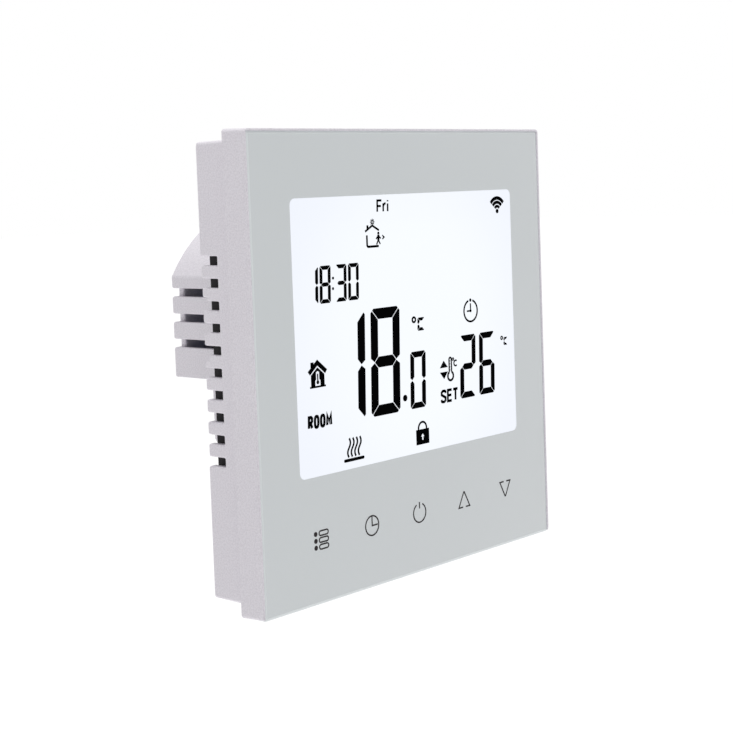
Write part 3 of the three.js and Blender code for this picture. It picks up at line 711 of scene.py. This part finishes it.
# %% [markdown]
# ## Seven-segment digits
#
# A digit is seven bars in a box of given width and height. The bars' ends are mitred at 45
# degrees and kept apart by a thin gap, and the whole digit leans a little to the right. Each bar
# is named a to g in the usual order: top, upper right, lower right, bottom, lower left, upper
# left, middle.

# %% Digits
LEAN = 0.035
LIT = {"0": "abcdef", "1": "bc", "2": "abged", "3": "abgcd", "6": "afgedc", "8": "abcdefg",
       "C": "afed"}


def digit(mark, x, z, width, height, bar):
    """The lit bars of one digit whose lower left corner is at (x, z)."""
    half, mid, corner = bar / 2, height / 2, 0.4 * bar
    gap = 0.05 * bar + 0.05
    mitre, point = 0.35 * gap, 0.7 * gap

    top = np.array([
        (corner, height), (width - corner, height),
        (width - corner / 2 - mitre, height - corner / 2 + mitre),
        (width - bar - 2 * mitre, height - bar), (bar + 2 * mitre, height - bar),
        (corner / 2 + mitre, height - corner / 2 + mitre)])
    side = np.array([
        (width - corner / 2 + mitre, height - corner / 2 - mitre), (width, height - corner),
        (width, mid + 0.4 * bar), (width - half, mid + point),
        (width - bar, mid + half + point), (width - bar, height - bar - 2 * mitre)])
    middle_bar = np.array([
        (half + point, mid), (bar + point, mid + half), (width - bar - point, mid + half),
        (width - half - point, mid), (width - bar - point, mid - half), (bar + point, mid - half)])

    def flipped(shape, sign_x, sign_z):
        return shape * (sign_x, sign_z) + (width * (sign_x < 0), height * (sign_z < 0))

    bars = {
        "a": top, "b": side, "c": flipped(side, 1, -1), "d": flipped(top, 1, -1),
        "e": flipped(side, -1, -1), "f": flipped(side, -1, 1), "g": middle_bar}
    return [flat((x, z) + bars[name] + bars[name][:, 1:] * (LEAN, 0)) for name in LIT[mark]]


segments = []
segments += digit("1", -22.7, -10.9, 8.3, 20.25, 2.05) + digit("8", -12.8, -10.9, 8.3, 20.25, 2.05)
segments += digit("0", -1.45, -10.9, 4.6, 11.0, 1.15)
segments += digit("2", 13.95, -10.8, 5.0, 12.6, 1.25) + digit("6", 20.15, -10.8, 5.1, 12.6, 1.25)
CLOCK_ROW = {"z": 11.4, "width": 2.9, "height": 6.8, "bar": 0.75}
for mark, x in (("1", -28.95), ("8", -25.65), ("3", -21.4), ("0", -18.05)):
    segments += digit(mark, x, *CLOCK_ROW.values())
segments += digit("C", 1.35, 4.0, 2.1, 2.55, 0.62) + digit("C", 28.75, -1.5, 1.3, 1.65, 0.46)
segments.append(stroke(arc_points(12.75, -3.45, 0.55, 50, 310, 12), 0.32))
segments += [ring(0.35, 6.25, 0.47, 0.42), ring(28.15, 0.05, 0.3, 0.3)]
segments += [ring(11.95, -2.6, 0.24, 0.24), disc(-3.0, -8.5, 0.64)]
segments += [disc(-21.95, 15.8, 0.27), disc(-22.05, 13.9, 0.27)]
add_piece("display_digits", segments, segment_ink, "panel")
print(len(segments), "segments and dots")

# %% [markdown]
# ## Pictures on the display
#
# A heating control shows a few plain pictures: radio waves, a house, a thermometer, a timer,
# rising heat and a padlock. Each is drawn from strokes, circles and filled outlines.

# %% Display pictures
def polygon(x, z, *corners):
    """A filled outline. Its corners are given from (x, z)."""
    return flat(np.array(corners, float) + (x, z))


def mirrored(x, z, half):
    """An outline and its mirror image in the upright line through x."""
    return [polygon(x, z, *[(side * dx, dz) for dx, dz in half]) for side in (-1, 1)]


def line(x, z, *corners, width):
    """A stroke through corners that are given from (x, z)."""
    return stroke(np.array(corners, float) + (x, z), width)


def radio_waves(x, z):
    """A dot and three arcs above it, each a little heavier than the one below."""
    arcs = [stroke(arc_points(x, z, radius, 39, 141), width)
            for radius, width in ((0.98, 0.6), (1.8, 0.66), (2.66, 0.74))]
    return [disc(x, z, 0.46), *arcs]


def timer(x, z):
    """A clock face that is open at the top, with a dot in the gap and two hands."""
    face = stroke(arc_points(x, z, 2.15, 108, 432, 40), 0.4)
    hands = line(x, z, (-1.2, 0), (0, 0), (0, 1.5), width=0.34)
    return [face, hands, disc(x, z + 2.15, 0.34), disc(x, z, 0.3)]


def rising_heat(x, z):
    """Four waving lines over a bar: each line's side step is a sine of its height."""
    height = np.linspace(0, 1, 20)
    waves = []
    for k in range(4):
        side_step = 0.97 * k + 0.25 * height - 0.34 * np.sin(2 * np.pi * height)
        waves.append(stroke(np.stack([x + side_step, z + 0.55 + 3.5 * height], 1), 0.42))
    ends = [disc(x + dx, z, 0.3) for dx in (-1.05, 3.95)]
    return [*waves, line(x, z, (-1.05, 0), (3.95, 0), width=0.6), *ends]


def padlock(x, z):
    """A body with an arrow left open in it, and a half-round shackle."""
    half = [(0, 0), (1.95, 0), (1.95, 2.95), (0, 2.95), (0, 2.1), (0.5, 1.5), (0.2, 1.5),
            (0.2, 0.85), (0, 0.85)]
    shackle = np.vstack([
        [(x + 1.2, z + 2.9)], arc_points(x, z + 3.15, 1.2, 0, 180), [(x - 1.2, z + 2.9)]])
    return [*mirrored(x, z, half), stroke(shackle, 0.42)]


def warm_house(x, z):
    """A filled house under a roof line, with a thermometer left open in its front."""
    roof = line(x, z, (-2.25, 1.65), (0, 3.45), (2.25, 1.65), width=0.86)
    chimney = polygon(x, z, (-1.75, 2.2), (-0.95, 2.8), (-0.95, 3.6), (-1.75, 3.6))
    floor_bar = line(x, z, (-2.05, -0.9), (2.05, -0.9), width=0.34)
    half = [(1.75, -0.95), (0.68, -0.95), (0.68, 0.2), (0.42, 0.45), (0.42, 1.7), (0, 1.95),
            (0, 2.6), (1.75, 1.25)]
    tube = line(x, z, (0, 0.1), (0, 1.45), width=0.3)
    base = polygon(x, z, (-0.7, -0.95), (0.7, -0.95), (0.7, -0.72), (-0.7, -0.72))
    return [roof, chimney, floor_bar, *mirrored(x, z, half), tube, base, disc(x, z - 0.1, 0.36)]


def leaving_house(x, z):
    """A house in outline with the sun over its roof and a walking figure at its open side."""
    walls = line(x, z, (-1.5, 2.15), (-1.5, 0.25), (-1.25, 0), (1.75, 0), width=0.44)
    roof = line(x, z, (-1.95, 2.85), (0.1, 3.9), (1.95, 2.95), width=0.4)
    chimney = line(x, z, (-1.25, 3.1), (-1.25, 4.0), width=0.5)
    beams = [np.array([math.cos(a), math.sin(a)]) for a in np.radians(range(0, 360, 45))]
    rays = [line(x + 0.15, z + 4.55, 0.15 * beam, 0.62 * beam, width=0.2) for beam in beams]
    head = disc(x + 1.75, z + 2.4, 0.28)
    trunk = line(x, z, (1.75, 2.1), (1.7, 1.05), width=0.6)
    legs = line(x, z, (1.15, 0.3), (1.7, 1.15), (2.2, 0.35), width=0.32)
    arms = line(x, z, (1.05, 1.35), (1.72, 1.95), (2.4, 1.4), width=0.28)
    arrow = line(x, z, (2.85, 1.95), (3.35, 1.6), (2.85, 1.25), width=0.28)
    return [walls, roof, chimney, *rays, head, trunk, legs, arms, arrow]


def thermometer(x, z):
    """A tube and a bulb in outline, with marks across the tube."""
    tube = np.vstack([
        [(x - 0.36, z + 0.8)], arc_points(x, z + 3.3, 0.36, 180, 0, 12), [(x + 0.36, z + 0.8)]])
    bulb = arc_points(x, z, 0.86, 66, -246, 30)
    marks = [line(x, z, (-0.25, h), (0.02, h), width=0.16) for h in (1.2, 1.8, 2.4, 3.0)]
    return [stroke(tube, 0.38), stroke(bulb, 0.46), *marks]


pictures = radio_waves(27.9, 26.15) + timer(18.1, 6.5) + rising_heat(-19.45, -17.95)
pictures += padlock(1.85, -18.1) + warm_house(-26.95, -2.5) + leaving_house(-10.85, 20.95)
pictures += thermometer(11.05, -5.85)
for base, tip in ((-4.0, -2.6), (-4.85, -6.25)):
    pictures.append(polygon(9.0, 0.0, (-1.25, base), (1.25, base), (0, tip)))
add_piece("display_pictures", pictures, segment_ink, "panel")
print(len(pictures), "strokes and fills")

# %% [markdown]
# ## Words on the display
#
# Three short words are lit: the day, and the names of the two temperatures. Display lettering is
# drawn from bars of one width, so a letter here is a few strokes in a box one unit wide and one
# unit tall, and the round one is a superellipse: cosine and sine, each to the power 0.7.

# %% Words
turn = np.linspace(0, 2 * np.pi, 25)[:-1]
round_letter = np.stack([np.cos(turn), np.sin(turn)], 1)
round_letter = 0.5 + 0.5 * np.sign(round_letter) * np.abs(round_letter) ** 0.7
LETTERS = {
    "R": (1.0, [(0, 0), (0, 1), (0.65, 1), (0.95, 0.88), (0.95, 0.62), (0.65, 0.48), (0.1, 0.48)],
          [(0.5, 0.48), (1, 0)]),
    "O": (1.05, round_letter),
    "M": (1.25, [(0, 0), (0, 1), (0.5, 0.3), (1, 1), (1, 0)]),
    "S": (1.0, [(1, 0.78), (0.9, 0.95), (0.7, 1), (0.3, 1), (0.05, 0.88), (0.05, 0.66), (0.95, 0.38),
                (0.95, 0.12), (0.7, 0), (0.3, 0), (0.1, 0.05), (0, 0.22)]),
    "E": (0.9, [(1, 1), (0, 1), (0, 0), (1, 0)], [(0, 0.52), (0.9, 0.52)]),
    "T": (0.9, [(-0.15, 1), (1, 1)], [(0.45, 1), (0.45, 0)]),
    "F": (0.95, [(1, 1), (0, 1), (0, 0)], [(0, 0.5), (0.85, 0.5)]),
    "r": (0.55, [(0, 0.72), (0, 0)], [(0, 0.45), (0.4, 0.68), (1, 0.72)]),
    "i": (0.1, [(0.5, 0.7), (0.5, 0)], [(0.5, 1), (0.5, 0.88)]),
}


def word(text, left, right, bottom, top, width):
    """The strokes of a word that fills its box. Letters share what is left of its length after
    a gap of 1.2 stroke widths between their middle lines."""
    gap = 1.2 * width
    space = right - left - width - gap * (len(text) - 1)
    unit = space / sum(LETTERS[letter][0] for letter in text)
    start, made = left + width / 2, []
    for letter in text:
        share, *lines = LETTERS[letter]
        for path in lines:
            path = np.asarray(path, float) * (share * unit, top - bottom - width)
            path += (start, bottom + width / 2)
            path[:, 0] += LEAN * (path[:, 1] - bottom)
            made.append(stroke(path, width, closed=letter == "O"))
        start += share * unit + gap
    return made


words = word("ROOM", -30.0, -23.6, -10.95, -8.4, 0.6)
words += word("SET", 7.65, 13.3, -11.0, -8.3, 0.55)
words += word("Fri", -9.4, -5.95, 27.15, 29.65, 0.42)
add_piece("display_words", words, segment_ink, "panel")
print("three words of", len(words), "strokes")

# %% [markdown]
# ## Touch keys
#
# Five marks are printed under the display, each over its own touch spring: a list, a clock, the
# power sign and two arrows. They have no travel: the panel feels a finger through the glass.

# %% Key marks
KEY_LINE = 0.27


def key(*corners):
    """A printed line of a key mark."""
    return stroke(corners, KEY_LINE, SCREEN_TOP)


spring_middles = [np.mean(node_box(f"touch_spring_{i}"), 0) for i in range(1, 6)]
key_x = [float(spot[0]) for spot in spring_middles]
key_z = float(spring_middles[0][2])
marks = []
for row in (1.25, 0.0, -1.25):
    x = key_x[0] + 0.7
    marks.append(disc(key_x[0] - 1.4, key_z + row, 0.45, SCREEN_TOP))
    pill = rounded_outline(x - 1.2, x + 1.2, key_z + row - 0.42, key_z + row + 0.42, 0.4, 5)
    marks.append(stroke(pill, 0.26, SCREEN_TOP, closed=True))
clock_x = key_x[1] + 0.1
marks.append(ring(clock_x, key_z, 1.85, KEY_LINE, SCREEN_TOP))
marks.append(key((clock_x, key_z + 1.7), (clock_x, key_z), (clock_x + 1.55, key_z)))
power_x = key_x[2] + 0.2
power_arc = arc_points(power_x, key_z - 0.1, 1.85, 118, 422, 40)
marks.append(stroke(power_arc, KEY_LINE, SCREEN_TOP))
marks.append(key((power_x, key_z + 0.75), (power_x, key_z + 2.0)))
for x, up in ((key_x[3] + 0.35, 1), (key_x[4] + 0.25, -1)):
    base, tip = key_z - up * 1.45, key_z + up * 1.68
    for side in (-1, 1):
        marks.append(key((x + side * 0.45, base), (x + side * 1.75, base), (x + side * 0.04, tip)))
add_piece("key_marks", marks, key_ink, "panel")
print("keys at", [round(x, 1) for x in key_x], "height", round(key_z, 1))

# %% [markdown]
# ## Behind the glass
#
# The display's cell, its light guide and the rubber strip are plain cut shapes, so softened
# boxes of the frame's own sizes suit them.

# %% Cell, guide, strip
def boxed(node, material, edge):
    """A softened box of the node's own size, in place of the node."""
    box = soft_box(*node_box(node), edge)
    made = add_piece(node + "_body", [box], material, body_of[node])
    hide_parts(node)
    return made


boxed("lcd_cell", under_glass("polished_display_cell", "#b9c1b4", "#c1c9bd"), 0.12)
boxed("light_guide", frosted_acrylic, 0.15)
boxed("contact_strip", striped_rubber, 0.12)

# %% [markdown]
# ## Touch springs
#
# Each spring is a conical coil of thin wire: its radius shrinks a little towards the glass and
# its first and last turns lie flat. The height is a smooth step of the angle, which is what
# flattens the end turns.

# %% Touch springs
COIL_TURNS = 3.6
WIRE_ROOM = 0.25  # from the middle of the wire to the spring's own box

t = np.linspace(0, 1, 140)
angle = 2 * np.pi * COIL_TURNS * t
rise = t * t * (3 - 2 * t)
for number in range(1, 6):
    low, high = node_box(f"touch_spring_{number}")
    coil_radius = ((high[0] - low[0]) / 2 - WIRE_ROOM) * (1 - 0.12 * (1 - rise))
    centre = (low + high) / 2
    path = np.stack([
        centre[0] + coil_radius * np.cos(angle),
        low[1] + WIRE_ROOM + (high[1] - low[1] - 2 * WIRE_ROOM) * rise,
        centre[2] + coil_radius * np.sin(angle)], 1)
    coil = wire(path, 0.24, (0, 1, 0), 8)
    spring = add_piece(f"touch_coil_{number}", [coil], spring_wire, "panel")
    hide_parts(f"touch_spring_{number}")
print("five coils of", len(t), "points")

# %% [markdown]
# ## Front board's parts
#
# The radio module is a small board with a drawn tin can, the controller is a square chip with
# gull-wing leads along its four sides, and rows of tiny resistors fill the space between them.

# %% Radio module, controller, small parts
low, high = node_box("wifi_module")
module_board = soft_box(low, (high[0], low[1] + 0.8, high[2]), 0.06)
radio = add_piece("radio_module_board", [module_board], solder_mask, "panel")
can_low = (low[0] + 1.0, low[1] + 0.8, low[2] + 0.8)
can_high = (high[0] - 1.0, high[1], high[2] - 6.5)
can = add_piece("radio_module_can", [soft_box(can_low, can_high, 0.4)], tin, "panel")
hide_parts("wifi_module")
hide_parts("wifi_module")
aerial = [(low[0] + 1.5 + 1.3 * i, high[2] - (0.8 if i % 4 in (1, 2) else 4.6))
          for i in range(10)]
track, track_faces = stroke(aerial, 0.45, 0.0)
track[:, 1] = np.where(track[:, 1] == 0.0, low[1] + 0.84, low[1] + 0.7)
add_piece("radio_aerial_track", [(track, track_faces)], brass, "panel")

low, high = node_box("controller_chip")
middle = (low + high) / 2
case = soft_box(low + (1, 0.1, 1), high - (1, 0, 1), 0.15)
chip = add_piece("controller_case", [case], black_epoxy, "panel")
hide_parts("controller_chip")
lead_parts = []
reach_out = np.array([3.9, 4.4, 4.55, 4.95])
for step in np.arange(-3.2, 3.3, 0.8):
    for turn_x, turn_z in ((1, 0), (-1, 0), (0, 1), (0, -1)):
        lead = np.stack([
            middle[0] + turn_x * reach_out + abs(turn_z) * step,
            low[1] + np.array([0.75, 0.75, 0.15, 0.15]),
            middle[2] + turn_z * reach_out + abs(turn_x) * step], 1)
        lead_parts.append(wire(lead, 0.14, (abs(turn_z), 0, abs(turn_x)), 6))
add_piece("controller_leads", lead_parts, tin, "panel")

y = node_box("front_board")[1][1]
chips, ends = [], []
for column in range(9):
    for row in range(5):
        x, z = -18 + column * 4.4 + 0.9 * (row % 2), -17.5 - row * 3.6
        chips.append(soft_box((x - 0.55, y, z - 0.4), (x + 0.55, y + 0.42, z + 0.4), 0.06, 2))
        ends += [soft_box((x + s - 0.18, y, z - 0.42), (x + s + 0.18, y + 0.45, z + 0.42), 0.06, 2)
                 for s in (-0.66, 0.66)]
add_piece("small_resistors", chips, black_epoxy, "panel")
add_piece("small_resistor_ends", ends, ferrule, "panel")
print(len(lead_parts), "leads and", len(chips), "small parts")

# %% [markdown]
# ## Room sensor
#
# A coated bead on two bare wires stands in a hole of the back plate. The bead is a drop: a
# circle's half-profile, drawn out towards the wires.

# %% Room sensor
low, high = node_box("room_sensor")
centre = (low + high) / 2
t = np.linspace(0.02, np.pi - 0.02, 18)
drop = np.stack([1.15 * np.sin(t) * (1 - 0.18 * np.cos(t)), high[1] - 1.25 - 1.2 * np.cos(t)], 1)
drop_part = turned(drop, centre[0], centre[2], 20)
bead = add_piece("sensor_bead", [drop_part], black_epoxy, "panel")
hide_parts("room_sensor")
legs = [wire([(centre[0] + s, y, centre[2]) for y in np.linspace(low[1], high[1] - 2.0, 4)],
             0.22, (0, 0, 1), 8) for s in (-0.7, 0.7)]
add_piece("sensor_legs", legs, tin, "panel")

# %% [markdown]
# ## Power board's parts
#
# The relay is a sealed blue case with a seam round its lid. The transformer is a taped winding
# on a black former in a ferrite core. The electrolytic capacitor is a sleeved can with a crimped
# foot and a bare metal top. The varistor is a disc dipped in epoxy on two legs.

# %% Relay, transformer, fuse, film capacitor
low, high = node_box("relay")
relay_case = add_piece("relay_case", [
    soft_box(low, high - (0, 1.6, 0), 0.5),
    soft_box((low[0] + 0.25, high[1] - 2.2, low[2] + 0.25), high - (0.25, 0, 0.25), 0.45)],
    blue_pbt, "housing")
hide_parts("relay")

low, high = node_box("transformer")
core_front, core_back = low[1] + 3.2, low[1] + 10.8
core_spans = [
    (low[0], low[0] + 2.4, low[2], high[2]), (high[0] - 2.4, high[0], low[2], high[2]),
    (low[0] + 0.1, high[0] - 0.1, low[2], low[2] + 2.2),
    (low[0] + 0.1, high[0] - 0.1, high[2] - 2.2, high[2])]
core_parts = [soft_box((left, core_front, bottom), (right, core_back, top), 0.3)
              for left, right, bottom, top in core_spans]
core = add_piece("transformer_core", core_parts, ferrite, "housing")
winding = add_piece("transformer_winding", [
    soft_box(low + (2.7, 2.4, 1.4), high - (2.7, 1.6, 1.4), 1.1, 5)],
    tape, "housing")
former = add_piece("transformer_former", [
    soft_box(low + (2.2, 0, 0.8), (high[0] - 2.2, low[1] + 2.6, high[2] - 0.8), 0.3),
    soft_box((low[0] + 2.2, high[1] - 1.8, low[2] + 0.8), high - (2.2, 0, 0.8), 0.3)],
    black_pbt, "housing")
for part in (core, winding, former):
    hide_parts("transformer")

boxed("film_capacitor", yellow_epoxy, 0.6)
boxed("fuse", brown_pbt, 0.7)

# %% Electrolytic capacitor and varistor
low, high = node_box("electrolytic_capacitor")
centre, radius = (low + high) / 2, (high[0] - low[0]) / 2
t = np.linspace(0, np.pi / 2, 6)
foot = np.array([(-0.5, 0), (-0.1, 0.2), (0, 0.6), (0, 1.3), (-0.45, 1.7), (0, 2.1)])
foot += (radius, low[1])
shoulder = np.stack([radius - 0.7 * (1 - np.cos(t)), high[1] - 0.7 + 0.7 * np.sin(t)], 1)
sleeved_part = turned(np.vstack([foot, shoulder]), centre[0], centre[2], 40)
sleeved = add_piece("capacitor_sleeve", [sleeved_part], sleeve, "housing")
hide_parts("electrolytic_capacitor")
lid = [(radius - 1.0, high[1] - 0.3), (radius - 1.0, high[1] - 0.02), (radius - 1.1, high[1])]
cap_top = turned(lid, centre[0], centre[2], 40)
add_piece("capacitor_top", [cap_top], aluminium, "housing")

low, high = node_box("varistor")
centre, radius = (low + high) / 2, (high[0] - low[0]) / 2
t = np.linspace(0, np.pi, 14)
rim = np.stack([radius - 1.2 + 1.2 * np.sin(t), centre[2] - (high[2] - low[2]) / 2 * np.cos(t)], 1)
points, faces = turned(rim, centre[0], high[1] - radius, 36)
disc_part = (points[:, [0, 2, 1]], faces)
leg_parts = []
for x in (centre[0] - 3.5, centre[0] + 3.5):
    leg_path = [(x, y, centre[2]) for y in np.linspace(low[1], high[1] - radius, 5)]
    leg_parts.append(wire(leg_path, 0.38, (0, 0, 1), 10))
varistor = add_piece("varistor_disc", [disc_part], blue_epoxy, "housing")
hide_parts("varistor")
add_piece("varistor_legs", leg_parts, tin, "housing")

# %% [markdown]
# ## Solder joints
#
# On the front of the power board each pin ends in a shiny cone of solder: a small turned shape
# whose radius falls off like one over the height.

# %% Solder joints
board_front = node_box("power_board")[0][1]
height = np.linspace(0, 1, 7)
cone = np.stack([0.95 / (1 + 2.2 * height) - 0.12, board_front + 0.05 - 0.75 * height], 1)
pin_places = [(-20.5, 0.6), (-20.5, 10.2), (-12.5, 0.6), (-12.5, 10.2), (-5.5, 5.4)]
pin_places += [(4.0 + 4.4 * i, z) for i in range(4) for z in (0.5, 10.6)]
pin_places += [(-1.0, 16.3), (13.5, 16.3), (-11.5, 19.8), (-6.5, 19.8), (0.5, 22.7), (7.5, 22.7)]
joints = [turned(cone, x, z, 14) for x, z in pin_places]
for number in range(1, 9):
    low, high = node_box(f"contact_bar_{number}")
    joints.append(turned(cone, (low[0] + high[0]) / 2 + 1.3, -15.6, 14))
add_piece("solder_joints", joints, ferrule, "housing")
print(len(joints), "solder joints")

# %% Sizes
low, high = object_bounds()
